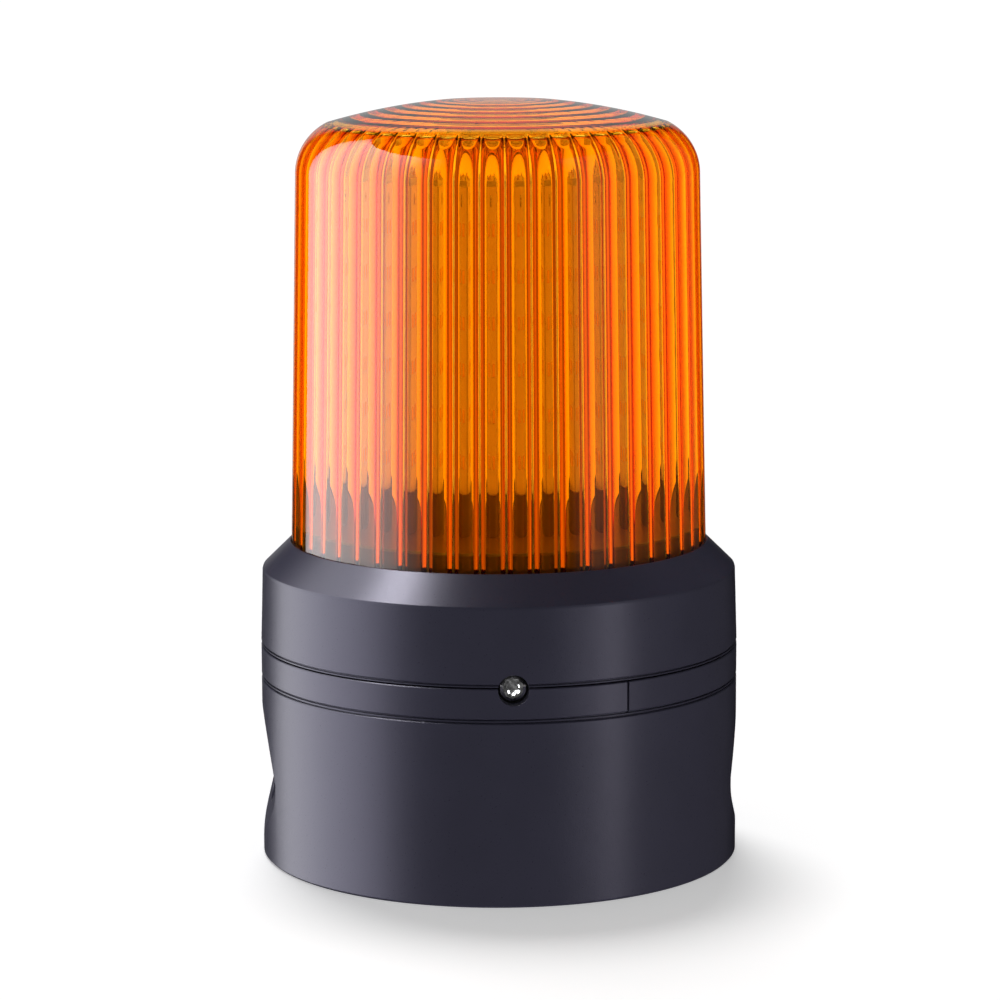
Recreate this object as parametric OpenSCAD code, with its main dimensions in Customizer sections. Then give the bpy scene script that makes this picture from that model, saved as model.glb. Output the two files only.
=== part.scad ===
// Amber LED signal beacon: a twist-off lens head on a round surface-mount base.
// Millimetres. +Z is up, the origin is at the middle of the underside and the lock screw faces -Y.

/* [Base] */
// Outside diameter of the base
base_d = 130; // [128:0.5:132]
// Height of the base housing up to its lip
base_h = 49.6; // [49.6:0.1:49.6]
// Wall thickness of the base housing
base_wall = 3.2; // [2.8:0.1:3.4]
// Thickness of the floor
floor_t = 4; // [3.5:0.5:5]
// Depth of the two side scoops
scoop_depth = 3.36; // [2.5:0.02:3.6]
// Lowest point of a side scoop
scoop_z0 = 4; // [3:0.5:6]
// Height at which a side scoop is deepest
scoop_mid = 23; // [21:0.5:25]
// Highest point of a side scoop
scoop_z1 = 42; // [40:0.5:44]

/* [Mounting and cable entries] */
// Pitch circle of the mounting holes
fix_pcd = 100; // [96:1:102]
// Diameter of a mounting hole
fix_d = 5.5; // [4.5:0.1:6]
// Diameter of the rear cable entry
rear_entry_d = 22; // [16:1:26]
// Core diameter of the M20 x 1.5 side entries
side_entry_d = 18.4; // [18:0.1:18.6]

/* [Locking ring] */
// Lowest level of the locking ring's outer face
ring_z0 = 50; // [50:0.1:50.2]
// Top of the locking ring
ring_z1 = 58; // [57.6:0.1:58]
// Direction of the ring's slit, from -Y towards +X
slit_az = 27.7; // [20:0.1:40]
// Width of the slit
slit_w = 0.6; // [0.3:0.1:1]

/* [Lock screw] */
// Height of the screw axis
screw_z = 57.6; // [57.4:0.1:57.8]
// Diameter of the well that the screw sits in
well_d = 8.05; // [8:0.05:8.4]
// Depth of the screw head below the surface
well_depth = 3; // [2.9:0.1:3.2]
// Diameter of the screw head
screw_head_d = 7.5; // [7:0.1:7.6]
// Height of the screw head
screw_head_h = 2.2; // [2:0.1:2.2]
// Nominal thread diameter
screw_d = 4; // [4:0.1:4]
// Length under the head
screw_len = 12; // [10:0.5:12]

/* [Head] */
// Lowest level of the upper housing
housing_z0 = 58.4; // [58.4:0.05:58.6]
// Level at which the upper housing's bevel starts
bevel_z0 = 79.1; // [78.5:0.1:80]
// Level at which the lens leaves the housing
bevel_z1 = 86.7; // [86:0.1:87]
// Angle that the head turns through before it lifts off
twist_deg = 15; // [10:1:18]
// Overall height
total_h = 205; // [200:0.5:215]

/* [Lens] */
// Outside radius of the lens where it leaves the housing
lens_r = 56.41; // [56:0.01:56.6]
// Taper of the lens wall in degrees
lens_taper = 1.2; // [0.8:0.1:1.5]
// Radius of the shoulder between wall and dome
shoulder_r = 15.15; // [12:0.05:18]
// Radius of the dome
dome_r = 172; // [150:1:200]
// Radius of the flat disc at the top
flat_r = 16; // [12:1:20]
// Wall thickness of the lens
lens_wall = 2.6; // [2:0.1:3]

/* [Light source] */
// Width across the flats of the LED tower
tower_af = 32; // [30:1:40]
// Height of the LED tower
tower_h = 94; // [70:1:96]
// Rows of LEDs on each face of the tower
led_rows = 6; // [3:1:6]
// Thickness of a circuit board
board_t = 1.6; // [1:0.1:2]

/* [Hidden] */
$fn = 96;
FIT = 0.05; // running clearance on the radius
GAP = 0.3; // clearance between parts that turn past each other
FRONT = -90; // direction of -Y
EPS = 0.02; // keeps a cutter clear of the face it cuts

base_r = base_d / 2;
inner_r = base_r - base_wall;
lip_r = base_r - 0.2; // the fine beads in both joint lines
joint_r = base_r - 0.75; // bottom of the joint lines
bead_h = 0.35;
groove_h = 0.4;
rim_z = base_h - bead_h - groove_h;
top_flange_t = 4;
opening_r = 50.4; // opening in the top of the base housing
pad_x = 51.6; // inner face of the thick pads behind the scoops
pad_half = 22;
pad_z1 = 45;
scoop_flat = 2;

neck_flange_r = 61.4;
neck_flange_t = 2.2;
neck_z = base_h;
spigot_z0 = 38;
spigot_r = opening_r - 0.2;
barrel_r = 54.4;
barrel_z0 = neck_z + neck_flange_t;
shoulder_z = 66;
collar_r = 50;
collar_z1 = 90.6;
collar_wall = 2.4;
bore_r = collar_r - collar_wall;
plate_z0 = 85;
plate_t = 2.5;
plate_z1 = plate_z0 + plate_t;

skirt_ri = barrel_r + GAP;
skirt_ro = 57;
skirt_z0 = barrel_z0 + 0.5;
clamp_r = 59.2; // outside of the thickened part that the lock screw clamps
clamp_half = 9;
lug_h = 3;
lug_half = 7;
lug_r = barrel_r - 1.9;
channel_r = lug_r - GAP;
channel_z = 55;
lug_angles = [90, 210, 330];
flange_z0 = 70;
flange_z1 = 72.8;
flange_r = 61.3;
housing_ri = 61.6;
skin_r = 63.75; // inside of the thin skin beside the screw head
skin_z1 = 62.4;
lens_flange_t = 3;
lens_flange_z1 = flange_z1 + lens_flange_t;
seal_r0 = 57;
seal_r1 = 58.4;
seal_t = 1.5;
rivet_r = 59.7; // pitch radius of the head screws
head_screw_angles = [for (i = [0:5]) 30 + 60 * i];

head_top_r = base_r - well_depth;
head_seat_r = head_top_r - screw_head_h;
washer_t = 0.5;
insert_r = 3.1;
insert_len = 7;
insert_mouth = 54;

neck_screw_angles = [60, 120, 240, 300];
neck_screw_r = 58.7;
fix_angles = [for (i = [0:3]) 45 + 90 * i];

tower_z0 = plate_z1 + board_t;
tower_z1 = tower_z0 + tower_h;
hub_z1 = tower_z0 + 12.5;
tower_bore = 10;
face_w = tower_af / sqrt(3) - 1.5;
face_angles = [for (i = [0:5]) FRONT + 60 * i];
led_w = 3.5;
led_h = 1.3;
led_z0 = hub_z1 + 2;
led_pitch = (tower_z1 - 5 - led_z0) / led_rows;

driver_z = 71;
driver_r = 44;
standoff_angles = [30, 150, 270];
standoff_r = 38;

// ---- helpers ----

// A ring about the Z axis.
module ring(ro, ri, z0, z1) {
    translate([0, 0, z0])
        difference() {
            cylinder(r = ro, h = z1 - z0);
            translate([0, 0, -1]) cylinder(r = ri, h = z1 - z0 + 2);
        }
}

// Part of a ring, from angle a0 to angle a1.
module arc_ring(ro, ri, z0, z1, a0, a1) {
    rotate([0, 0, a0])
        rotate_extrude(angle = a1 - a0)
            translate([ri, z0]) square([ro - ri, z1 - z0]);
}

// A cylinder along the radius in direction az, between radii r0 and r1.
module radial(az, z, r0, r1, r) {
    rotate([0, 0, az])
        translate([r0, 0, z])
            rotate([0, 90, 0]) cylinder(r = r, h = r1 - r0, $fn = 48);
}

// Copies of the children at radius r in each direction.
module around(r, angles) {
    for (a = angles) rotate([0, 0, a]) translate([r, 0, 0]) children();
}

// A six-sided prism of width af across its flats, with flats facing the tower's faces.
module hex_prism(af, z0, z1) {
    translate([0, 0, z0]) cylinder(r = af / sqrt(3), h = z1 - z0, $fn = 6);
}

// A flat-headed screw pointing down, with the top of its head at z = 0.
module flat_screw(d, head_d, head_h, len) {
    difference() {
        union() {
            translate([0, 0, -len]) cylinder(d = d, h = len, $fn = 32);
            translate([0, 0, -head_h]) cylinder(d1 = d, d2 = head_d, h = head_h, $fn = 32);
        }
        translate([0, 0, -head_h * 0.6]) cylinder(d = d * 0.7, h = head_h, $fn = 6);
    }
}

// A pan-headed screw pointing down, with the underside of its head at z = 0.
module pan_screw(d, head_d, head_h, len) {
    difference() {
        union() {
            translate([0, 0, -len]) cylinder(d = d, h = len + EPS, $fn = 32);
            cylinder(d = head_d, h = head_h * 0.7, $fn = 32);
            translate([0, 0, head_h * 0.7])
                cylinder(d1 = head_d, d2 = head_d * 0.75, h = head_h * 0.3, $fn = 32);
        }
        translate([0, 0, head_h * 0.4]) cylinder(d = d * 0.7, h = head_h, $fn = 6);
    }
}

// A socket with six rounded lobes, depth deep, opening upwards at z = 0.
module lobed_socket(d, depth) {
    lobe = d * 0.16;
    translate([0, 0, -depth]) {
        cylinder(d = d * 0.76, h = depth + 1, $fn = 32);
        for (i = [0:5])
            rotate([0, 0, 60 * i])
                translate([d / 2 - lobe, 0, 0]) cylinder(r = lobe, h = depth + 1, $fn = 24);
    }
}

// An O-ring about the Z axis.
module o_ring(r, section_r, z) {
    translate([0, 0, z])
        rotate_extrude() translate([r, 0]) circle(r = section_r, $fn = 32);
}

// ---- base ----

// How far the scoop's floor lies from the axis at height z.
function scoop_x(z) =
    z > scoop_mid
        ? base_r - scoop_depth * (scoop_z1 - z) / (scoop_z1 - scoop_mid)
        : base_r - scoop_depth * (1 - cos(180 * min(1, (z - scoop_z0) / (scoop_mid - scoop_flat - scoop_z0)))) / 2;

module scoop_cut() {
    steps = 14;
    low = [for (i = [0:steps]) scoop_z0 + (scoop_mid - scoop_flat - scoop_z0) * i / steps];
    zs = concat(low, [scoop_mid, scoop_z1]);
    translate([0, 30, 0])
        rotate([90, 0, 0])
            linear_extrude(60)
                polygon(concat(
                    [[base_r + 5, scoop_z0]],
                    [for (z = zs) [scoop_x(z), z]],
                    [[base_r + 5, scoop_z1]]
                ));
}

module base_shell() {
    rotate_extrude()
        polygon([
            [rear_entry_d / 2, 0], [base_r - 0.6, 0], [base_r, 0.6],
            [base_r, rim_z - 0.25], [base_r - 0.25, rim_z], [joint_r, rim_z],
            [joint_r, rim_z + groove_h], [lip_r, rim_z + groove_h], [lip_r, base_h],
            [opening_r, base_h], [opening_r, base_h - top_flange_t],
            [inner_r, base_h - top_flange_t], [inner_r, floor_t],
            [rear_entry_d / 2 + 3, floor_t], [rear_entry_d / 2 + 3, floor_t + 4],
            [rear_entry_d / 2, floor_t + 4]
        ]);
}

// The thick pads that the side entries are threaded into.
module entry_pads() {
    intersection() {
        translate([0, 0, floor_t - EPS]) cylinder(r = inner_r + EPS * 5, h = pad_z1 - floor_t);
        for (s = [-1, 1])
            translate([s > 0 ? pad_x : -pad_x - 20, -pad_half, 0]) cube([20, 2 * pad_half, pad_z1]);
    }
}

module base_housing() {
    color([0.13, 0.125, 0.14])
    difference() {
        union() {
            base_shell();
            entry_pads();
            around(fix_pcd / 2, fix_angles) translate([0, 0, floor_t - EPS]) cylinder(r = 6, h = 3);
            intersection() {
                around(neck_screw_r, neck_screw_angles)
                    translate([0, 0, 30]) cylinder(r = 4, h = base_h - top_flange_t - 30 + EPS);
                cylinder(r = inner_r + EPS * 5, h = base_h);
            }
        }
        scoop_cut();
        mirror([1, 0, 0]) scoop_cut();
        radial(0, scoop_mid, 40, 80, side_entry_d / 2);
        radial(180, scoop_mid, 40, 80, side_entry_d / 2);
        around(fix_pcd / 2, fix_angles) translate([0, 0, -1]) cylinder(d = fix_d, h = 20);
        around(neck_screw_r, neck_screw_angles)
            translate([0, 0, 36]) cylinder(r = 1.25, h = 20, $fn = 32);
        ring(61.5, 57.5, -1, 1.5);
    }
}

module mounting_gasket() {
    color([0.07, 0.07, 0.07]) ring(61.4, 57.6, 0, 1.5);
}

module locking_ring() {
    color([0.14, 0.135, 0.15])
    difference() {
        rotate_extrude()
            polygon([
                [housing_ri, base_h], [joint_r, base_h], [joint_r, ring_z0], [base_r - 0.25, ring_z0],
                [base_r, ring_z0 + 0.25], [base_r, ring_z1 - 0.25], [base_r - 0.25, ring_z1],
                [housing_ri, ring_z1]
            ]);
        rotate([0, 0, FRONT + slit_az])
            translate([0, -slit_w / 2, 0]) cube([100, slit_w, 100]);
        radial(FRONT, screw_z, 55, 70, well_d / 2);
    }
}

// Blanking plug in the side entry that isn't used, flush with the scoop's floor.
module entry_plug() {
    color([0.1, 0.1, 0.11])
    difference() {
        radial(180, scoop_mid, pad_x, base_r - scoop_depth - 0.3, side_entry_d / 2 - FIT);
        rotate([0, 0, 180])
            translate([base_r - scoop_depth - 4.3, -6, scoop_mid - 1.2]) cube([10, 12, 2.4]);
        rotate([0, 0, 180])
            translate([pad_x + 1.5, 0, scoop_mid])
                rotate([0, 90, 0])
                    difference() {
                        cylinder(r = 12, h = 2);
                        translate([0, 0, -1]) cylinder(r = side_entry_d / 2 - 1.6, h = 4);
                    }
    }
}

module entry_plug_seal() {
    color([0.06, 0.06, 0.06])
        rotate([0, 0, 180])
            translate([pad_x + 2.5, 0, scoop_mid])
                rotate([0, 90, 0]) o_ring(side_entry_d / 2 - 0.85, 0.75, 0);
}

// ---- neck ----

// Room for one bayonet lug: it drops in from the top and then turns under the barrel's edge.
module lug_channel(a) {
    arc_ring(barrel_r + 1, channel_r, channel_z - lug_h / 2 - GAP, channel_z + lug_h / 2 + GAP,
        a - lug_half - 1, a + twist_deg + lug_half + 1);
    arc_ring(barrel_r + 1.2, channel_r - 0.1, channel_z, shoulder_z + 1,
        a + twist_deg - lug_half - 1, a + twist_deg + lug_half + 1.2);
}

module neck() {
    color([0.09, 0.088, 0.095])
    difference() {
        union() {
            rotate_extrude()
                polygon([
                    [bore_r, spigot_z0], [spigot_r, spigot_z0], [spigot_r, neck_z],
                    [neck_flange_r, neck_z], [neck_flange_r, barrel_z0], [barrel_r, barrel_z0],
                    [barrel_r, shoulder_z], [collar_r, shoulder_z], [collar_r - 0.3, collar_z1 - 0.5],
                    [collar_r - 0.8, collar_z1], [bore_r, collar_z1], [bore_r, plate_z1],
                    [3.2, plate_z1], [3.2, plate_z0], [bore_r, plate_z0]
                ]);
            radial(FRONT, screw_z, 44.5, barrel_r - 1, 5.2);
        }
        for (a = lug_angles) lug_channel(a);
        radial(FRONT, screw_z, 45.6, barrel_r + 1, screw_d / 2 + 0.25);
        radial(FRONT, screw_z, insert_mouth - insert_len, barrel_r + 1, insert_r);
        around(neck_screw_r, neck_screw_angles) {
            translate([0, 0, neck_z - 1]) cylinder(r = 1.6, h = 5, $fn = 32);
            translate([0, 0, barrel_z0 - 1.2]) cylinder(r1 = 1.4, r2 = 2.5, h = 1.25, $fn = 32);
        }
        ring(spigot_r + 1, spigot_r - 1.9, 42, 44.4);
        around(standoff_r, standoff_angles)
            translate([0, 0, plate_z0 - 1]) cylinder(r = 1.25, h = plate_t + 2, $fn = 32);
        around(tower_bore + 3, [0, 120, 240])
            translate([0, 0, plate_z0 - 1]) cylinder(r = 1.6, h = plate_t + 2, $fn = 32);
    }
}

module neck_seal() {
    color([0.06, 0.06, 0.06]) o_ring(spigot_r - 0.85, 0.98, 43.2);
}

module neck_screws() {
    color([0.72, 0.72, 0.74])
        around(neck_screw_r, neck_screw_angles)
            translate([0, 0, barrel_z0 - 0.05]) flat_screw(2.45, 4.7, 1.1, 14);
}

module screw_insert() {
    color([0.78, 0.6, 0.28])
    difference() {
        radial(FRONT, screw_z, insert_mouth - insert_len, insert_mouth, insert_r);
        radial(FRONT, screw_z, 40, 60, screw_d / 2 + FIT);
    }
}

module head_seal() {
    color([0.06, 0.06, 0.06]) ring(52.15, 50.2, shoulder_z, flange_z0 - 2 - FIT);
}

// ---- head ----

module upper_housing() {
    color([0.13, 0.125, 0.14])
    difference() {
        rotate_extrude()
            polygon([
                [skin_r, housing_z0], [lip_r, housing_z0], [lip_r, housing_z0 + bead_h],
                [joint_r, housing_z0 + bead_h], [joint_r, housing_z0 + bead_h + groove_h],
                [base_r - 0.25, housing_z0 + bead_h + groove_h],
                [base_r, housing_z0 + bead_h + groove_h + 0.25],
                [base_r - 0.57, bevel_z0 - 0.5], [base_r - 0.75, bevel_z0 + 0.1],
                [lens_r + 0.35, bevel_z1 - 0.2], [lens_r + 0.25, bevel_z1 - 0.4],
                [lens_r + 0.4, lens_flange_z1 + seal_t], [seal_r1, lens_flange_z1 + seal_t],
                [seal_r1, lens_flange_z1], [housing_ri, lens_flange_z1], [housing_ri, skin_z1],
                [skin_r, skin_z1]
            ]);
        radial(FRONT, screw_z, 55, 70, well_d / 2);
        around(rivet_r, head_screw_angles)
            translate([0, 0, lens_flange_z1 - 1]) cylinder(r = 1, h = 6, $fn = 32);
    }
}

// Radius of the lens's outer face at height z on its wall.
function lens_wall_r(z) = lens_r - (z - bevel_z1) * tan(lens_taper);

// Outline of the lens, inset by t: wall, shoulder arc, dome arc and flat top.
function lens_outline(t) =
    let (
        dome_cz = total_h - sqrt(pow(dome_r, 2) - pow(flat_r, 2)),
        mid = wall_meets(dome_cz),
        a1 = 90 - asin(mid[0] / (dome_r - shoulder_r)),
        dome_steps = 8,
        arc_steps = 10
    )
    concat(
        [for (i = [0:arc_steps])
            let (a = -lens_taper + (a1 + lens_taper) * i / arc_steps)
            mid + (shoulder_r - t) * [cos(a), sin(a)]],
        [for (i = [1:dome_steps])
            let (r = (mid[0] + shoulder_r * cos(a1)) * (1 - i / dome_steps) + flat_r * i / dome_steps)
            [r, dome_cz + sqrt(pow(dome_r - t, 2) - r * r)]]
    );

// Centre of the shoulder arc, which touches both the tapered wall and the dome.
function wall_meets(dome_cz, lo = 180, hi = 200, n = 30) =
    let (
        z = (lo + hi) / 2,
        r = lens_wall_r(z) - shoulder_r / cos(lens_taper),
        off = sqrt(pow(r, 2) + pow(z - dome_cz, 2)) - (dome_r - shoulder_r)
    )
    n == 0 ? [r, z] : off > 0 ? wall_meets(dome_cz, lo, z, n - 1) : wall_meets(dome_cz, z, hi, n - 1);

module lens() {
    outer = lens_outline(0);
    inner = lens_outline(lens_wall);
    foot_r = lens_wall_r(lens_flange_z1);
    color([0.96, 0.5, 0.06, 0.55])
    difference() {
        rotate_extrude()
            polygon(concat(
                [[foot_r - lens_wall, flange_z1], [flange_r, flange_z1], [flange_r, lens_flange_z1],
                 [foot_r, lens_flange_z1]],
                outer,
                [[0, outer[len(outer) - 1][1]], [0, inner[len(inner) - 1][1]]],
                [for (i = [len(inner) - 1:-1:0]) inner[i]]
            ));
        around(rivet_r, head_screw_angles)
            translate([0, 0, flange_z1 - 1]) cylinder(r = 1.3, h = 6, $fn = 32);
    }
}

module lens_seal() {
    color([0.06, 0.06, 0.06]) ring(seal_r1 - 0.05, seal_r0, lens_flange_z1, lens_flange_z1 + seal_t);
}

module bayonet_ring() {
    slot_w = screw_d / 2 + 0.3;
    slot_half = asin(slot_w / skirt_ri);
    color([0.1, 0.098, 0.105])
    difference() {
        union() {
            rotate_extrude()
                polygon([
                    [skirt_ri, skirt_z0], [skirt_ro, skirt_z0], [skirt_ro, flange_z0],
                    [flange_r, flange_z0], [flange_r, flange_z1], [collar_r + GAP, flange_z1],
                    [collar_r + GAP, flange_z0 - 2], [52.4, flange_z0 - 2], [52.4, flange_z0 - 1],
                    [skirt_ri, flange_z0 - 1]
                ]);
            for (a = lug_angles)
                arc_ring(skirt_ri + 0.5, lug_r, channel_z - lug_h / 2, channel_z + lug_h / 2,
                    a - lug_half, a + lug_half);
            arc_ring(clamp_r, skirt_ro - 0.5, skirt_z0, screw_z + 4.6,
                FRONT - twist_deg - clamp_half, FRONT + clamp_half);
        }
        arc_ring(62, 50, screw_z - slot_w, screw_z + slot_w,
            FRONT - twist_deg - slot_half, FRONT + slot_half);
        arc_ring(63, 49, skirt_z0 - 1, screw_z,
            FRONT - twist_deg - slot_half - 0.5, FRONT - twist_deg + slot_half);
        around(rivet_r, head_screw_angles)
            translate([0, 0, flange_z0 - 1]) cylinder(r = 1.35, h = 6, $fn = 32);
    }
}

module head_screws() {
    color([0.72, 0.72, 0.74])
        around(rivet_r, head_screw_angles)
            translate([0, 0, flange_z0]) rotate([180, 0, 0]) pan_screw(1.96, 3.0, 1.4, 10);
}

// ---- lock screw ----

module clamp_washer() {
    color([0.7, 0.7, 0.72])
    difference() {
        radial(FRONT, screw_z, head_seat_r - washer_t, head_seat_r - 0.03, 3.6);
        radial(FRONT, screw_z, 55, 65, screw_d / 2 + FIT);
    }
}

module lock_screw() {
    color([0.8, 0.8, 0.82])
        rotate([0, 0, FRONT])
            translate([head_top_r, 0, screw_z])
                rotate([0, 90, 0])
                    difference() {
                        rotate_extrude($fn = 48)
                            polygon([
                                [0, 0], [screw_head_d / 2 - 1.1, 0], [screw_head_d / 2 - 0.4, -0.35],
                                [screw_head_d / 2, -1.1], [screw_head_d / 2, -screw_head_h],
                                [screw_d / 2, -screw_head_h],
                                [screw_d / 2, 0.6 - screw_head_h - screw_len],
                                [screw_d / 2 - 0.6, -screw_head_h - screw_len],
                                [0, -screw_head_h - screw_len]
                            ]);
                        lobed_socket(3.95, 1.6);
                    }
}

// ---- light source ----

// Cover over the base board, with a short shroud round the tower's foot.
module board_cover() {
    top = collar_z1 - 0.4;
    under = tower_z0 + GAP;
    hub_r = tower_af / sqrt(3) + 2.6;
    color([0.1, 0.098, 0.105])
        rotate_extrude()
            polygon([
                [25.5, plate_z1], [27.5, plate_z1], [27.5, under], [bore_r - 0.2, under],
                [bore_r - 0.2, top], [hub_r + 1.5, top], [hub_r + 1.5, hub_z1], [hub_r, hub_z1],
                [hub_r, under],
                [25.5, under]
            ]);
}

module led_base_board() {
    color([0.9, 0.9, 0.88])
    difference() {
        translate([0, 0, plate_z1]) cylinder(r = 25, h = board_t);
        around(tower_bore + 3, [0, 120, 240])
            translate([0, 0, plate_z1 - 1]) cylinder(r = 1.6, h = 5, $fn = 32);
        translate([0, 0, plate_z1 - 1]) cylinder(r = 3.2, h = 5, $fn = 32);
    }
}

module led_tower() {
    color([0.75, 0.76, 0.78])
    difference() {
        hex_prism(tower_af, tower_z0, tower_z1);
        translate([0, 0, tower_z0 - 1]) cylinder(r = tower_bore, h = tower_h + 2);
        around(tower_bore + 3, [0, 120, 240]) {
            translate([0, 0, tower_z0 - 1]) cylinder(r = 1.25, h = 11, $fn = 32);
            translate([0, 0, tower_z1 - 8]) cylinder(r = 1, h = 9, $fn = 32);
        }
        for (a = face_angles, z = [tower_z0 + 3.5, tower_z1 - 3.5])
            radial(a, z, tower_bore - 3, tower_af, 0.8);
    }
}

module tower_screws() {
    color([0.72, 0.72, 0.74])
        around(tower_bore + 3, [0, 120, 240])
            translate([0, 0, plate_z0]) rotate([180, 0, 0]) pan_screw(2.45, 5.4, 2, 11);
}

// One board of the tower, with its LEDs facing out.
module led_board(i) {
    color([0.92, 0.92, 0.9])
        rotate([0, 0, face_angles[i]])
            difference() {
                translate([tower_af / 2, -face_w / 2, tower_z0])
                    cube([board_t, face_w, tower_h]);
                for (z = [tower_z0 + 3.5, tower_z1 - 3.5])
                    translate([tower_af / 2 - 1, 0, z])
                        rotate([0, 90, 0]) cylinder(r = 1, h = board_t + 2, $fn = 32);
            }
}

module led_board_1() led_board(0);
module led_board_2() led_board(1);
module led_board_3() led_board(2);
module led_board_4() led_board(3);
module led_board_5() led_board(4);
module led_board_6() led_board(5);

// An LED package that faces +Z, standing on z = 0.
module led_package() {
    translate([-led_w / 2, -led_w / 2, 0]) cube([led_w, led_w, led_h * 0.5]);
    cylinder(r = led_w * 0.44, h = led_h * 0.5 + 0.35, $fn = 32);
}

module side_leds() {
    color([0.98, 0.82, 0.2])
        for (a = face_angles, k = [0:led_rows - 1], y = [-1, 1])
            rotate([0, 0, a])
                translate([tower_af / 2 + board_t, y * face_w * 0.22, led_z0 + led_pitch * (k + 0.5)])
                    rotate([0, 90, 0]) led_package();
}

module led_board_screws() {
    color([0.72, 0.72, 0.74])
        for (a = face_angles, z = [tower_z0 + 3.5, tower_z1 - 3.5])
            rotate([0, 0, a])
                translate([tower_af / 2 + board_t, 0, z])
                    rotate([0, 90, 0]) pan_screw(1.5, 3.2, 1.2, 5);
}

module top_led_board() {
    color([0.92, 0.92, 0.9])
    difference() {
        hex_prism(tower_af, tower_z1, tower_z1 + board_t);
        around(tower_bore + 3, [0, 120, 240])
            translate([0, 0, tower_z1 - 1]) cylinder(r = 1.2, h = 5, $fn = 32);
    }
}

module top_leds() {
    color([0.98, 0.82, 0.2])
        around(9, [60, 180, 300]) translate([0, 0, tower_z1 + board_t]) led_package();
}

module top_board_screws() {
    color([0.72, 0.72, 0.74])
        around(tower_bore + 3, [0, 120, 240])
            translate([0, 0, tower_z1 + board_t]) pan_screw(1.9, 4, 1.5, 8);
}

// ---- driver ----

module driver_board() {
    color([0.1, 0.35, 0.2])
    difference() {
        translate([0, 0, driver_z]) cylinder(r = driver_r, h = board_t);
        around(standoff_r, standoff_angles)
            translate([0, 0, driver_z - 1]) cylinder(r = 1.7, h = 5, $fn = 32);
    }
}

module standoffs() {
    color([0.78, 0.6, 0.28])
        around(standoff_r, standoff_angles)
            difference() {
                translate([0, 0, driver_z + board_t])
                    cylinder(r = 3.2, h = plate_z0 - driver_z - board_t, $fn = 6);
                translate([0, 0, driver_z]) cylinder(r = 1.3, h = 20, $fn = 32);
            }
}

module driver_screws() {
    color([0.72, 0.72, 0.74])
        around(standoff_r, standoff_angles)
            translate([0, 0, driver_z]) rotate([180, 0, 0]) pan_screw(2.5, 5.4, 2, 7);
}

// Pins that carry the supply from the driver up to the light source.
module board_link() {
    color([0.15, 0.15, 0.16])
        translate([-2.2, -2.2, driver_z + board_t]) cube([4.4, 4.4, plate_z0 - driver_z - board_t - 4]);
    color([0.85, 0.72, 0.35])
        for (x = [-1, 1], y = [-1, 1])
            translate([x * 1.27 - 0.3, y * 1.27 - 0.3, plate_z0 - 4 - EPS]) cube([0.6, 0.6, 4 + plate_t + EPS]);
}

module inductor_core() {
    color([0.25, 0.25, 0.27])
        translate([16, 16, driver_z - 12])
            difference() {
                cylinder(r = 12, h = 12);
                translate([0, 0, 2]) ring_space(10.5, 4.2, 8.5);
            }
}

// The hollow between two radii, h tall.
module ring_space(ro, ri, h) {
    difference() {
        cylinder(r = ro, h = h);
        translate([0, 0, -1]) cylinder(r = ri, h = h + 2);
    }
}

module inductor_winding() {
    color([0.72, 0.4, 0.2])
        translate([16, 16, driver_z - 9.8]) ring_space(9.8, 4.5, 8);
}

module capacitors() {
    color([0.2, 0.22, 0.3])
        for (x = [-20, -6])
            translate([x, 24, driver_z - 20]) cylinder(r = 6.3, h = 20);
}

module driver_chips() {
    color([0.12, 0.12, 0.13]) {
        translate([-10, -2, driver_z - 1.8]) cube([10, 7, 1.8]);
        translate([-26, 2, driver_z - 2.4]) cube([8, 6.5, 2.4]);
        translate([-4, -14, driver_z - 1.6]) cube([5, 4, 1.6]);
    }
}

module terminal_header() {
    color([0.16, 0.42, 0.25])
    difference() {
        translate([-12, -31, driver_z - 12]) cube([24, 11, 12]);
        translate([-10.8, -29.8, driver_z - 13]) cube([21.6, 8.6, 10]);
    }
}

module terminal_plug() {
    color([0.2, 0.5, 0.3])
    difference() {
        union() {
            translate([-10.5, -29.5, driver_z - 14]) cube([21, 8, 10.5]);
            translate([-12, -31, driver_z - 22]) cube([24, 14, 8]);
        }
        for (x = [-7.5, -2.5, 2.5, 7.5]) {
            translate([x, -24, driver_z - 23]) cylinder(r = 1.5, h = 7, $fn = 32);
            translate([x, -10, driver_z - 18.5]) rotate([90, 0, 0]) cylinder(r = 1.6, h = 11, $fn = 32);
        }
    }
}

module terminal_screws() {
    color([0.72, 0.72, 0.74])
        for (x = [-7.5, -2.5, 2.5, 7.5])
            difference() {
                translate([x, -17.3, driver_z - 18.5])
                    rotate([90, 0, 0]) cylinder(r = 1.5, h = 3.2, $fn = 32);
                translate([x - 2, -18, driver_z - 18.75]) cube([4, 2, 0.5]);
            }
}

module mode_switch() {
    color([0.1, 0.1, 0.11])
    difference() {
        translate([22, -12, driver_z - 5]) cube([10, 10, 5]);
        translate([27, -7, driver_z - 6]) cylinder(r = 3.6, h = 4, $fn = 48);
    }
}

module mode_dial() {
    color([0.9, 0.5, 0.12])
    difference() {
        translate([27, -7, driver_z - 5.3]) cylinder(r = 3.3, h = 3, $fn = 48);
        translate([26.5, -9.6, driver_z - 6]) cube([1, 4.2, 1.6]);
    }
}

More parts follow.
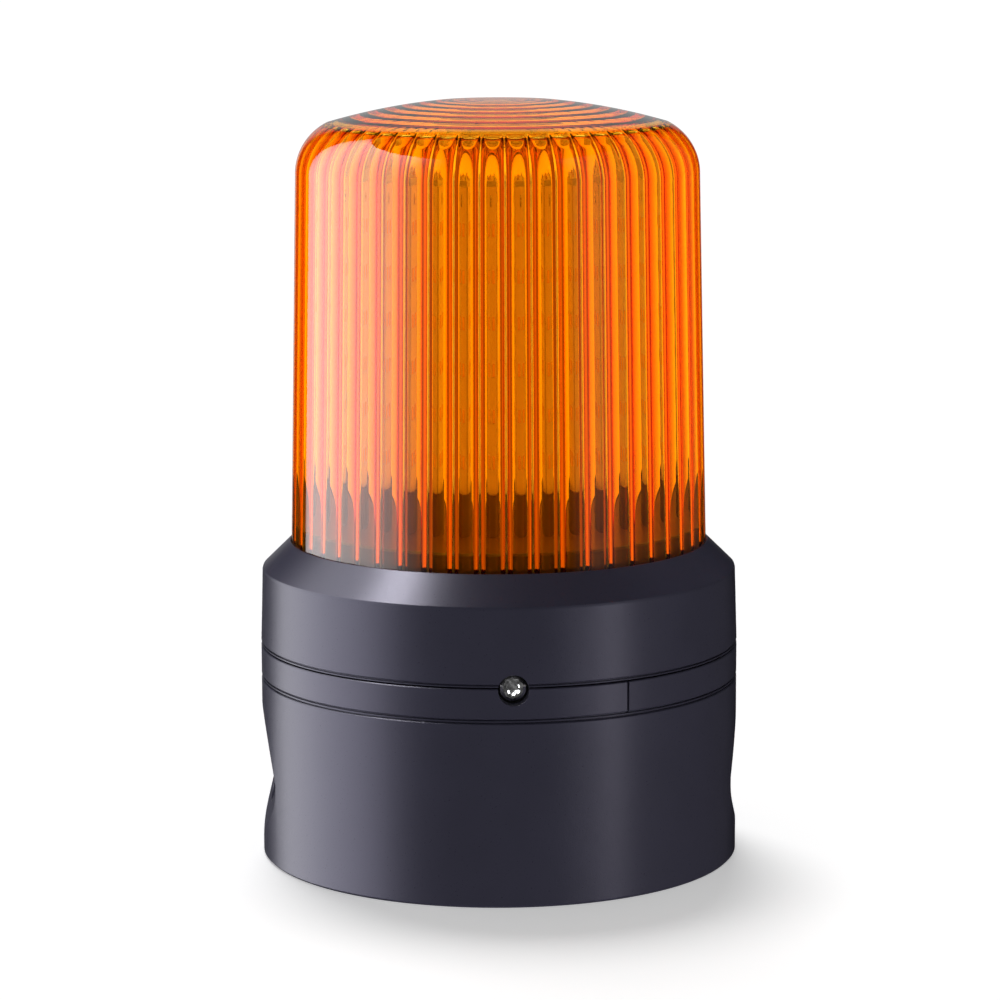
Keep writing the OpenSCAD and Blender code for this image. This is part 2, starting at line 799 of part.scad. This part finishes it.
base_housing();
mounting_gasket();
locking_ring();
entry_plug();
entry_plug_seal();
neck();
neck_seal();
neck_screws();
screw_insert();
head_seal();
upper_housing();
lens();
lens_seal();
bayonet_ring();
head_screws();
clamp_washer();
lock_screw();
board_cover();
led_base_board();
led_tower();
tower_screws();
led_board_1();
led_board_2();
led_board_3();
led_board_4();
led_board_5();
led_board_6();
side_leds();
led_board_screws();
top_led_board();
top_leds();
top_board_screws();
driver_board();
standoffs();
driver_screws();
board_link();
inductor_core();
inductor_winding();
capacitors();
driver_chips();
terminal_header();
terminal_plug();
terminal_screws();
mode_switch();
mode_dial();
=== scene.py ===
"""Looks for the amber LED signal beacon: its ribbed lens, its materials, the studio and the camera."""
import math

import bpy
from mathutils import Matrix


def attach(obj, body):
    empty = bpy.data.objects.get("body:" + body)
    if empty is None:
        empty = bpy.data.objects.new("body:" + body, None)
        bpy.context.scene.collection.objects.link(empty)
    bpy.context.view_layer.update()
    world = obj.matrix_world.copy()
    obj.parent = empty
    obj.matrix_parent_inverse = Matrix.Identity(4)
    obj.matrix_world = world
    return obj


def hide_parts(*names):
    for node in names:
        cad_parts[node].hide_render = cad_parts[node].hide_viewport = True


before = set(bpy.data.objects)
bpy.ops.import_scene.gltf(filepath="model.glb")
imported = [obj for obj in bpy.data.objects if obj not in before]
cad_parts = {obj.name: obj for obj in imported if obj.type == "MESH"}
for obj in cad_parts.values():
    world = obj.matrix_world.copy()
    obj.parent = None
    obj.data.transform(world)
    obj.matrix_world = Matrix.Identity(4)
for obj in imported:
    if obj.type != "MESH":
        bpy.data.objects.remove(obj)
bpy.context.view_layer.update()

MM = 0.001
SHARP_ANGLE = math.radians(24)  # edges sharper than this aren't smoothed


def put(obj):
    """Adds the object to the scene."""
    bpy.context.scene.collection.objects.link(obj)
    return obj


# ---- the lens's real shape, in millimetres ----

WALL_Z0 = 86.7  # where the lens leaves the housing
WALL_R = 56.41  # outside radius there
TAPER = math.radians(1.2)
FLANGE_R = 61.3
FLANGE_Z0, FLANGE_Z1 = 72.8, 75.8
TOP_Z = 205.0
SHOULDER_R = 15.15
DOME_R = 172.0
FLAT_R = 16.0
CREASE_R = 46.0  # where the dome meets the shoulder, in a fine edge
RIBS = 50
RIB_PHASE = math.radians(-90 - 4.8)  # middle of one rib, counted from +X
PITCH_R = 53.0  # radius at which the ribs' width is measured
VALLEY_T = 1.8  # wall thickness between two ribs
RIB_R = 3.05  # radius of a rib's round back
RIB_SLOPE = math.radians(68)  # where the back runs into the fillet beside it
BACK_STEPS, FILLET_STEPS = 9, 3
RIB_TOP = math.radians(66)  # how far up the shoulder arc the ribs reach
RIB_FADE = math.radians(14)
RINGS, RINGS_R, RING_SAG = 9, 45.8, 0.6  # round ribs inside the dome
BEAD_SAG = 2.4  # the outermost, under the crease
RING_STEPS = (0.0, 0.15, 0.35, 0.6, 0.8, 0.999)
FIRST_RING_R = 4.0
DOME_T = 2.4  # dome's thickness between two rings
MIDDLE_T = 3.0  # and in its middle
MIDDLE_R = 0.4  # radius of the flat that closes the dome's middle


def rib_profile():
    """Points across half a rib, from its middle outwards: angle from the middle, height above the valley."""
    half = math.pi * PITCH_R / RIBS
    edge = RIB_R * math.sin(RIB_SLOPE)
    fillet = (half - edge) / math.sin(RIB_SLOPE)
    drop = fillet * (1 - math.cos(RIB_SLOPE))
    points = []
    for i in range(BACK_STEPS + 1):
        a = RIB_SLOPE * i / BACK_STEPS
        points.append((RIB_R * math.sin(a), RIB_R * (math.cos(a) - math.cos(RIB_SLOPE)) + drop))
    for i in range(1, FILLET_STEPS + 1):
        a = RIB_SLOPE * (1 - i / FILLET_STEPS)
        points.append((half - fillet * math.sin(a), fillet * (1 - math.cos(a))))
    return [(u / PITCH_R, h) for u, h in points]


def around():
    """The angle of each segment round the lens, and the rib's height there."""
    half = rib_profile()
    one = [(-u, h) for u, h in reversed(half[1:])] + half[:-1]
    turns = [RIB_PHASE + 2 * math.pi * k / RIBS for k in range(RIBS)]
    return [(t + u, h) for t in turns for u, h in one]


ANGLES, RIB = (list(v) for v in zip(*around()))
SEGMENTS = len(ANGLES)


def wall_r(z):
    """Outside radius of the lens wall at height z."""
    return WALL_R - (z - WALL_Z0) * math.tan(TAPER)


def shoulder_centre():
    """Middle of the arc that joins the wall to the dome, and the dome's own middle height."""
    dome_z = TOP_Z - math.sqrt(DOME_R**2 - FLAT_R**2)
    lo, hi = 180.0, 200.0
    for _ in range(40):
        z = (lo + hi) / 2
        r = wall_r(z) - SHOULDER_R / math.cos(TAPER)
        if math.hypot(r, z - dome_z) > DOME_R - SHOULDER_R:
            hi = z
        else:
            lo = z
    return r, z, dome_z


SH_R, SH_Z, DOME_Z = shoulder_centre()
SH_END = math.pi / 2 - math.asin(SH_R / (DOME_R - SHOULDER_R))


def shoulder_points(t, steps, end):
    """Points along the shoulder arc, t inside the outer face, from the wall up to the angle end."""
    out = []
    for i in range(steps + 1):
        a = -TAPER + (end + TAPER) * i / steps
        out.append((SH_R + (SHOULDER_R - t) * math.cos(a), SH_Z + (SHOULDER_R - t) * math.sin(a)))
    return out


def dome_height(r, t):
    """Height of the dome at radius r, t below its outer face."""
    return DOME_Z + math.sqrt((DOME_R - t) ** 2 - r * r)


def revolve(rows):
    """Vertices of a stack of rings, and the quads between them.

    Each row gives a radius and a height for every segment.
    """
    verts, faces = [], []
    for radii, z in rows:
        for i in range(SEGMENTS):
            a = ANGLES[i]
            verts.append((radii[i] * math.cos(a) * MM, radii[i] * math.sin(a) * MM, z[i] * MM))
    for k in range(len(rows) - 1):
        a, b = k * SEGMENTS, (k + 1) * SEGMENTS
        for i in range(SEGMENTS):
            j = (i + 1) % SEGMENTS
            faces.append((a + i, a + j, b + j, b + i))
    return verts, faces


def even(r, z):
    """A row that is round and level."""
    return [r] * SEGMENTS, [z] * SEGMENTS


def lens_rows():
    """The lens from its foot up the outside to the dome's middle, and down the inside again."""
    outside = [even(FLANGE_R, FLANGE_Z0), even(FLANGE_R, FLANGE_Z1)]
    outside += [even(wall_r(z), z) for z in (FLANGE_Z1, 81.0, WALL_Z0, 110.0, 140.0, 170.0)]
    crease = math.acos((CREASE_R - SH_R) / SHOULDER_R)
    outside += [even(r, z) for r, z in shoulder_points(0, 20, crease)]
    drop = TOP_Z - outside[-1][1][0]
    for i in range(1, 15):
        r = CREASE_R + (FLAT_R - CREASE_R) * i / 14
        outside.append(even(r, TOP_Z - drop * (r**2 - FLAT_R**2) / (CREASE_R**2 - FLAT_R**2)))
    outside.append(even(MIDDLE_R, TOP_Z))

    inside = [even(MIDDLE_R, dome_height(0, MIDDLE_T))]
    ring_w = (RINGS_R - FIRST_RING_R) / RINGS
    for k in range(RINGS):
        for f in RING_STEPS:
            r = FIRST_RING_R + (k + f) * ring_w
            sag = (BEAD_SAG if k == RINGS - 1 else RING_SAG) * (1 - (2 * f - 1) ** 2)
            inside.append(even(r, dome_height(r, DOME_T + sag)))
    steps = 24
    arc = shoulder_points(VALLEY_T, steps, SH_END)
    for i in range(steps, -1, -1):
        r, z = arc[i]
        a = -TAPER + (SH_END + TAPER) * i / steps
        size = min(1.0, max(0.0, (RIB_TOP - a) / RIB_FADE))
        radii = [r - h * size * math.cos(a) for h in RIB]
        heights = [z - h * size * math.sin(a) for h in RIB]
        inside.append((radii, heights))
    for z in (170.0, 140.0, 110.0, WALL_Z0, 80.0, FLANGE_Z1, FLANGE_Z0):
        inside.append(([wall_r(z) - VALLEY_T - h for h in RIB], [z] * SEGMENTS))
    return outside, inside


def lens_shape():
    """Vertices and faces of the closed lens."""
    outside, inside = lens_rows()
    verts, faces = revolve(outside + inside)
    top = (len(outside) - 1) * SEGMENTS  # first vertex of the outer face's last row
    under = top + SEGMENTS  # and of the inner face's first row
    del faces[top:under]  # no wall through the dome's middle
    last = len(verts) - SEGMENTS
    for i in range(SEGMENTS):
        j = (i + 1) % SEGMENTS
        faces.append((last + i, last + j, j, i))
    faces.append(tuple(top + i for i in range(SEGMENTS)))
    faces.append(tuple(under + i for i in reversed(range(SEGMENTS))))
    return verts, faces


def build_lens():
    """The lens with its ribs and rings, in place of the smooth CAD lens."""
    verts, faces = lens_shape()
    mesh = bpy.data.meshes.new("lens_shell")
    mesh.from_pydata(verts, [], faces)
    mesh.validate()
    mesh.shade_smooth()
    mesh.set_sharp_from_angle(angle=SHARP_ANGLE)
    mesh.update()
    obj = put(bpy.data.objects.new("lens_shell", mesh))
    obj.data.materials.append(MATERIALS["lens_amber"])
    obj.visible_shadow = False
    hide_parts("lens")
    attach(obj, "head")


# ---- materials ----

def srgb(r, g, b):
    """A linear colour from 8-bit display values."""
    def one(c):
        c /= 255
        return c / 12.92 if c <= 0.04045 else ((c + 0.055) / 1.055) ** 2.4
    return one(r), one(g), one(b), 1.0


def new_material(name):
    """A material with its nodes, its links and its Principled shader."""
    mat = bpy.data.materials.new("look_" + name)
    mat.use_nodes = True
    nodes, links = mat.node_tree.nodes, mat.node_tree.links
    return mat, nodes, links, nodes["Principled BSDF"]


def noise(nodes, links, scale, detail=2.0, roughness=0.5):
    """A noise texture in the piece's own coordinates; scale is in features per metre."""
    coord = nodes.new("ShaderNodeTexCoord")
    tex = nodes.new("ShaderNodeTexNoise")
    tex.inputs["Scale"].default_value = scale
    tex.inputs["Detail"].default_value = detail
    tex.inputs["Roughness"].default_value = roughness
    links.new(coord.outputs["Object"], tex.inputs["Vector"])
    return tex


def spread(nodes, links, source, low, high):
    """Maps a texture's middle range to the range from low to high."""
    node = nodes.new("ShaderNodeMapRange")
    node.inputs["From Min"].default_value = 0.3
    node.inputs["From Max"].default_value = 0.7
    node.inputs["To Min"].default_value = low
    node.inputs["To Max"].default_value = high
    links.new(source, node.inputs["Value"])
    return node.outputs["Result"]


def moulded(name, colour, rough=(0.3, 0.4), grain=2600.0, bump=0.25, specular=0.5, edge=0.0,
            shade=0.12):
    """Moulded plastic: a fine spark-eroded grain, faint flow marks in its colour, softened edges."""
    mat, nodes, links, bsdf = new_material(name)
    flow = noise(nodes, links, 55.0, 3.0)
    mix = nodes.new("ShaderNodeMix")
    mix.data_type = "RGBA"
    mix.inputs["A"].default_value = [c * (1 - shade) for c in colour[:3]] + [1.0]
    mix.inputs["B"].default_value = [c * (1 + shade) for c in colour[:3]] + [1.0]
    links.new(flow.outputs["Fac"], mix.inputs["Factor"])
    links.new(mix.outputs["Result"], bsdf.inputs["Base Color"])
    fine = noise(nodes, links, grain, 3.0, 0.6)
    links.new(spread(nodes, links, fine.outputs["Fac"], *rough), bsdf.inputs["Roughness"])
    bsdf.inputs["Specular IOR Level"].default_value = specular
    bsdf.inputs["Specular Tint"].default_value = (0.85, 0.82, 1.0, 1.0)
    relief = nodes.new("ShaderNodeBump")
    relief.inputs["Strength"].default_value = bump
    relief.inputs["Distance"].default_value = 0.00004
    links.new(fine.outputs["Fac"], relief.inputs["Height"])
    if edge:
        bevel = nodes.new("ShaderNodeBevel")
        bevel.samples = 4
        bevel.inputs["Radius"].default_value = edge
        links.new(bevel.outputs["Normal"], relief.inputs["Normal"])
    links.new(relief.outputs["Normal"], bsdf.inputs["Normal"])
    return mat


def metal(name, colour, rough=(0.2, 0.35), scale=1200.0, stretch=(1.0, 1.0, 1.0)):
    """Bare metal with fine machining marks."""
    mat, nodes, links, bsdf = new_material(name)
    coord = nodes.new("ShaderNodeTexCoord")
    mapping = nodes.new("ShaderNodeMapping")
    mapping.inputs["Scale"].default_value = stretch
    tex = nodes.new("ShaderNodeTexNoise")
    tex.inputs["Scale"].default_value = scale
    links.new(coord.outputs["Object"], mapping.inputs["Vector"])
    links.new(mapping.outputs["Vector"], tex.inputs["Vector"])
    links.new(spread(nodes, links, tex.outputs["Fac"], *rough), bsdf.inputs["Roughness"])
    bsdf.inputs["Base Color"].default_value = colour
    bsdf.inputs["Metallic"].default_value = 1.0
    relief = nodes.new("ShaderNodeBump")
    relief.inputs["Strength"].default_value = 0.15
    relief.inputs["Distance"].default_value = 0.00002
    links.new(tex.outputs["Fac"], relief.inputs["Height"])
    links.new(relief.outputs["Normal"], bsdf.inputs["Normal"])
    return mat


def amber():
    """Clear amber plastic: polished faces, with the colour in its thickness."""
    mat, nodes, links, bsdf = new_material("lens_amber")
    bsdf.inputs["Base Color"].default_value = (1.0, 1.0, 1.0, 1.0)
    bsdf.inputs["Roughness"].default_value = 0.0
    bsdf.inputs["IOR"].default_value = 1.585
    bsdf.inputs["Transmission Weight"].default_value = 1.0
    ripple = noise(nodes, links, 90.0, 1.0)
    relief = nodes.new("ShaderNodeBump")
    relief.inputs["Strength"].default_value = 0.08
    relief.inputs["Distance"].default_value = 0.00008
    links.new(ripple.outputs["Fac"], relief.inputs["Height"])
    links.new(relief.outputs["Normal"], bsdf.inputs["Normal"])
    depth = nodes.new("ShaderNodeVolumeAbsorption")
    depth.inputs["Color"].default_value = (0.989, 0.82, 0.036, 1.0)
    depth.inputs["Density"].default_value = 1150.0
    links.new(depth.outputs["Volume"], nodes["Material Output"].inputs["Volume"])
    return mat


def make_materials():
    """Every material, by the name of its slot in the record."""
    dark = (0.034, 0.033, 0.055, 1.0)
    outside = {"rough": (0.27, 0.36), "bump": 0.5}
    return {
        "housing_plastic": moulded("housing_plastic", dark, edge=0.0003, **outside),
        "ring_plastic": moulded("ring_plastic", dark, edge=0.0002, **outside),
        "plug_plastic": moulded("plug_plastic", srgb(34, 34, 38), rough=(0.3, 0.4)),
        "neck_plastic": moulded("neck_plastic", (0.1, 0.098, 0.105, 1.0), rough=(0.42, 0.52),
                                specular=0.22),
        "lens_amber": amber(),
        "seal_rubber": moulded("seal_rubber", srgb(24, 24, 24), rough=(0.5, 0.6), grain=1500.0),
        "gasket_foam": moulded("gasket_foam", srgb(30, 30, 31), rough=(0.8, 0.95), grain=900.0,
                               bump=1.0),
        "stainless": metal("stainless", (0.6, 0.6, 0.61, 1.0)),
        "screw_steel": metal("screw_steel", (0.7, 0.7, 0.71, 1.0), rough=(0.14, 0.24)),
        "brass": metal("brass", (0.72, 0.5, 0.2, 1.0)),
        "copper": metal("copper", (0.72, 0.3, 0.14, 1.0), stretch=(1.0, 1.0, 12.0)),
        "board_white": moulded("board_white", (0.78, 0.78, 0.76, 1.0), rough=(0.3, 0.4), shade=0.03),
        "board_green": moulded("board_green", (0.02, 0.13, 0.05, 1.0), rough=(0.25, 0.35)),
        "tower_aluminium": metal("tower_aluminium", (0.66, 0.67, 0.69, 1.0), stretch=(6.0, 6.0, 0.3)),
        "led_phosphor": moulded("led_phosphor", (0.85, 0.62, 0.1, 1.0), rough=(0.15, 0.25), shade=0.05),
        "chip_black": moulded("chip_black", srgb(28, 28, 30), rough=(0.45, 0.6)),
        "ferrite": moulded("ferrite", srgb(40, 40, 43), rough=(0.5, 0.65), grain=1200.0, bump=0.6),
        "capacitor_sleeve": moulded("capacitor_sleeve", srgb(36, 40, 60), rough=(0.2, 0.3)),
        "terminal_plastic": moulded("terminal_plastic", (0.03, 0.2, 0.07, 1.0)),
        "dial_plastic": moulded("dial_plastic", (0.75, 0.25, 0.02, 1.0)),
    }


def dress_nodes():
    """Gives every CAD node the material made for its slot."""
    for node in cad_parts.values():
        for entry in node.material_slots:
            name = entry.material.name.split(".")[0]
            entry.material = MATERIALS[name]


# ---- studio ----

# Each softbox: its compass angles (0 is -Y, 90 is +X), its colour, and its strength along them.
LEFT_BOX = (-134, -32, (0.96, 0.96, 1.0, 1.0),
            ((0, 0.16), (0.2, 0.38), (0.5, 0.37), (0.6, 0.33), (0.7, 0.24), (0.82, 0.07), (0.92, 0.01),
             (1, 0)))
RIGHT_BOX = (139, 35, (1.0, 0.9, 0.88, 1.0),
             ((0, 0.004), (0.4, 0.005), (0.7, 0.012), (0.86, 0.025), (1, 0)))
BOX_GAIN = 10.0
BOX_RADIUS = 0.8
BOX_TOP = math.radians(50)  # elevation of its upper edge, seen from BOX_EYE_Z
BOX_EYE_Z = 0.1
BOX_Z0 = -0.6
BOX_STEPS = 24
FLOOR_HALF = 14.0

HOUSINGS = ("upper_housing", "base_housing", "neck", "locking_ring")
TOWER = ("led_tower", "side_leds", "led_board_screws") + tuple(f"led_board_{i}" for i in range(1, 7))


def float_curve(nodes, points):
    """A Float Curve node through the points, from input 0 to input 1."""
    node = nodes.new("ShaderNodeFloatCurve")
    curve = node.mapping.curves[0]
    curve.points[0].location = points[0]
    curve.points[1].location = points[-1]
    for at, value in points[1:-1]:
        curve.points.new(at, value)
    node.mapping.update()
    return node


def glow(name, colour, stops):
    """Light of one colour whose strength follows the stops along the panel's U."""
    mat = bpy.data.materials.new(name)
    mat.use_nodes = True
    nodes, links = mat.node_tree.nodes, mat.node_tree.links
    nodes.clear()
    uv = nodes.new("ShaderNodeUVMap")
    split = nodes.new("ShaderNodeSeparateXYZ")
    ramp = float_curve(nodes, stops)
    gain = nodes.new("ShaderNodeMath")
    gain.operation = "MULTIPLY"
    gain.inputs[1].default_value = BOX_GAIN
    emit = nodes.new("ShaderNodeEmission")
    emit.inputs["Color"].default_value = colour
    out = nodes.new("ShaderNodeOutputMaterial")
    links.new(uv.outputs["UV"], split.inputs["Vector"])
    links.new(split.outputs["X"], ramp.inputs["Value"])
    links.new(ramp.outputs["Value"], gain.inputs[0])
    links.new(gain.outputs["Value"], emit.inputs["Strength"])
    links.new(emit.outputs["Emission"], out.inputs["Surface"])
    return mat


def make_floor():
    """A pale floor that only the camera sees, so that it puts no glare in the lens or on the plastic."""
    mat, _, _, bsdf = new_material("floor")
    bsdf.inputs["Base Color"].default_value = (0.9, 0.9, 0.9, 1.0)
    bsdf.inputs["Roughness"].default_value = 0.9
    bsdf.inputs["Specular IOR Level"].default_value = 0.0
    bsdf.inputs["Emission Color"].default_value = (1.0, 1.0, 1.0, 1.0)
    bsdf.inputs["Emission Strength"].default_value = 0.36
    h = FLOOR_HALF
    mesh = bpy.data.meshes.new("floor")
    mesh.from_pydata([(-h, -h, 0), (h, -h, 0), (h, h, 0), (-h, h, 0)], [], [(0, 1, 2, 3)])
    mesh.materials.append(mat)
    floor = put(bpy.data.objects.new("floor", mesh))
    floor.visible_glossy = floor.visible_diffuse = floor.visible_transmission = False
    return floor


def softbox(name, start, end, colour, stops):
    """A tall light bent round the object, seen only in reflections."""
    high = BOX_EYE_Z + BOX_RADIUS * math.tan(BOX_TOP)
    verts, faces, uvs = [], [], []
    for i in range(BOX_STEPS + 1):
        a = math.radians(start + (end - start) * i / BOX_STEPS)
        x, y = BOX_RADIUS * math.sin(a), -BOX_RADIUS * math.cos(a)
        verts += [(x, y, BOX_Z0), (x, y, high)]
    for i in range(BOX_STEPS):
        u0, u1 = i / BOX_STEPS, (i + 1) / BOX_STEPS
        faces.append((2 * i, 2 * i + 2, 2 * i + 3, 2 * i + 1))
        uvs += [(u0, 0), (u1, 0), (u1, 1), (u0, 1)]
    mesh = bpy.data.meshes.new(name)
    mesh.from_pydata(verts, [], faces)
    layer = mesh.uv_layers.new(name="uv")
    for loop, uv in zip(layer.data, uvs):
        loop.uv = uv
    mesh.materials.append(glow(name + "_glow", colour, stops))
    obj = put(bpy.data.objects.new(name, mesh))
    obj.visible_camera = obj.visible_diffuse = obj.visible_transmission = obj.visible_shadow = False


def lamp(name, kind, energy, location, rotation, nodes, extra=()):
    """A lamp that lights only the named CAD nodes and the extra objects. Rotation is in degrees."""
    light = bpy.data.lights.new(name, kind)
    light.energy = energy
    obj = put(bpy.data.objects.new(name, light))
    obj.location = location
    obj.rotation_euler = [math.radians(v) for v in rotation]
    lit = bpy.data.collections.new(name + "_lit")
    for target in [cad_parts[n] for n in nodes] + list(extra):
        lit.objects.link(target)
    obj.light_linking.receiver_collection = lit
    return obj


def make_lights(floor):
    softbox("left_softbox", *LEFT_BOX)
    softbox("right_softbox", *RIGHT_BOX)

    # The key light makes the floor's shadow; it comes from behind and doesn't glint.
    key = lamp("key", "SUN", 1.8, (0, 0, 1), (-29, 0, 12), HOUSINGS + ("lock_screw",), [floor])
    key.data.angle = math.radians(24)
    key.visible_glossy = False

    # Highlights: on the bevel at the left, on the housing at the right, on the lock screw.
    for name, energy, place, turn, size, nodes in (
            ("spark", 5.0, (-0.49, 0.03, 0.95), (0, -29, 0), 0.22, HOUSINGS),
            ("rim", 1.6, (0.6, -0.52, 0.02), (90, 0, 49), 0.5, HOUSINGS),
            ("front", 2.5, (-0.08, -0.6, 0.2), (80, 0, -8), 0.25, ("lock_screw",))):
        obj = lamp(name, "AREA", energy, place, turn, nodes)
        obj.data.size = size
        obj.visible_diffuse = False

    # Amber light inside the lens: on the tower, and on the cover at its foot.
    for name, energy, place, turn, size, colour, nodes in (
            ("inner", 3.2, (-0.12, -0.7, 0.2), (85, 0, -10), 0.6, (1.0, 0.42, 0.03), TOWER),
            ("well", 3.5, (-0.1, -0.35, 0.6), (35, 0, 0), 0.3, (1.0, 0.25, 0.1), ("board_cover",))):
        obj = lamp(name, "AREA", energy, place, turn, nodes)
        obj.data.size = size
        obj.data.color = colour
        obj.visible_glossy = False


def make_world():
    """White to the camera. Reflections, the lens and soft light each see a sky of their own."""
    world = bpy.data.worlds.new("studio")
    bpy.context.scene.world = world
    world.use_nodes = True
    world.cycles.sampling_method = "NONE"
    nodes, links = world.node_tree.nodes, world.node_tree.links
    back = nodes["Background"]
    back.inputs["Color"].default_value = (1.0, 1.0, 1.0, 1.0)
    path = nodes.new("ShaderNodeLightPath")
    coord = nodes.new("ShaderNodeTexCoord")
    split = nodes.new("ShaderNodeSeparateXYZ")
    links.new(coord.outputs["Generated"], split.inputs["Vector"])
    x, y, z = (split.outputs[n] for n in "XYZ")

    def fade(source, start, end, low=0.0, high=1.0):
        """Goes from low to high as the source goes from start to end, and stays there beyond."""
        node = nodes.new("ShaderNodeMapRange")
        for socket, value in zip(("From Min", "From Max", "To Min", "To Max"), (start, end, low, high)):
            node.inputs[socket].default_value = value
        links.new(source, node.inputs["Value"])
        return node.outputs["Result"]

    def math_node(operation, *sources):
        node = nodes.new("ShaderNodeMath")
        node.operation = operation
        for socket, source in zip(node.inputs, sources):
            links.new(source, socket)
        return node.outputs["Value"]

    def pick(flag, otherwise, chosen):
        """The chosen value, a socket or a number, for rays with the flag."""
        node = nodes.new("ShaderNodeMix")
        links.new(path.outputs[flag], node.inputs["Factor"])
        links.new(otherwise, node.inputs["A"])
        if isinstance(chosen, float):
            node.inputs["B"].default_value = chosen
        else:
            links.new(chosen, node.inputs["B"])
        return node.outputs["Result"]

    # Reflections: dark, but for a bright field straight behind the object.
    side = math_node("ABSOLUTE", x)
    band = float_curve(nodes, ((0.0, 0.0), (0.08, 0.0), (0.14, 1.0), (0.6, 1.0), (0.7, 0.0), (1.0, 0.0)))
    links.new(z, band.inputs["Value"])
    field = math_node("MULTIPLY", math_node("MULTIPLY", band.outputs["Value"], fade(side, 0.3, 0.16)),
                      fade(y, 0.5, 0.85))
    mirrored = fade(math_node("MAXIMUM", field, fade(y, 0.965, 0.98)), 0.0, 1.0, 0.003, 0.4)

    # Through the lens: bright behind it and at its sides, dimmer in front.
    through = math_node("ADD", fade(y, -0.3, 0.1, 0.5, 1.65), fade(side, 0.5, 0.85, 0.0, 0.85))

    strength = pick("Is Transmission Ray", mirrored, through)
    strength = pick("Is Camera Ray", strength, 1.1)
    strength = pick("Is Diffuse Ray", strength, fade(z, -0.2, 0.3, 1.05, 0.25))
    links.new(strength, back.inputs["Strength"])


def make_camera():
    """A long lens, a little above the object and to its left."""
    data = bpy.data.cameras.new("camera")
    data.lens = 130.9
    data.sensor_width = 36.0
    data.clip_start, data.clip_end = 0.05, 60.0
    cam = put(bpy.data.objects.new("camera", data))
    cam.location = (-0.0566, -0.976, 0.257)
    pitch, azimuth, roll = math.radians(-9.317), math.radians(3.37), math.radians(0.17)
    cam.rotation_euler = (math.pi / 2 + pitch, roll, -azimuth)
    bpy.context.scene.camera = cam


MATERIALS = make_materials()
dress_nodes()
build_lens()
make_lights(make_floor())
make_world()
make_camera()
bpy.context.scene.view_settings.view_transform = "Standard"
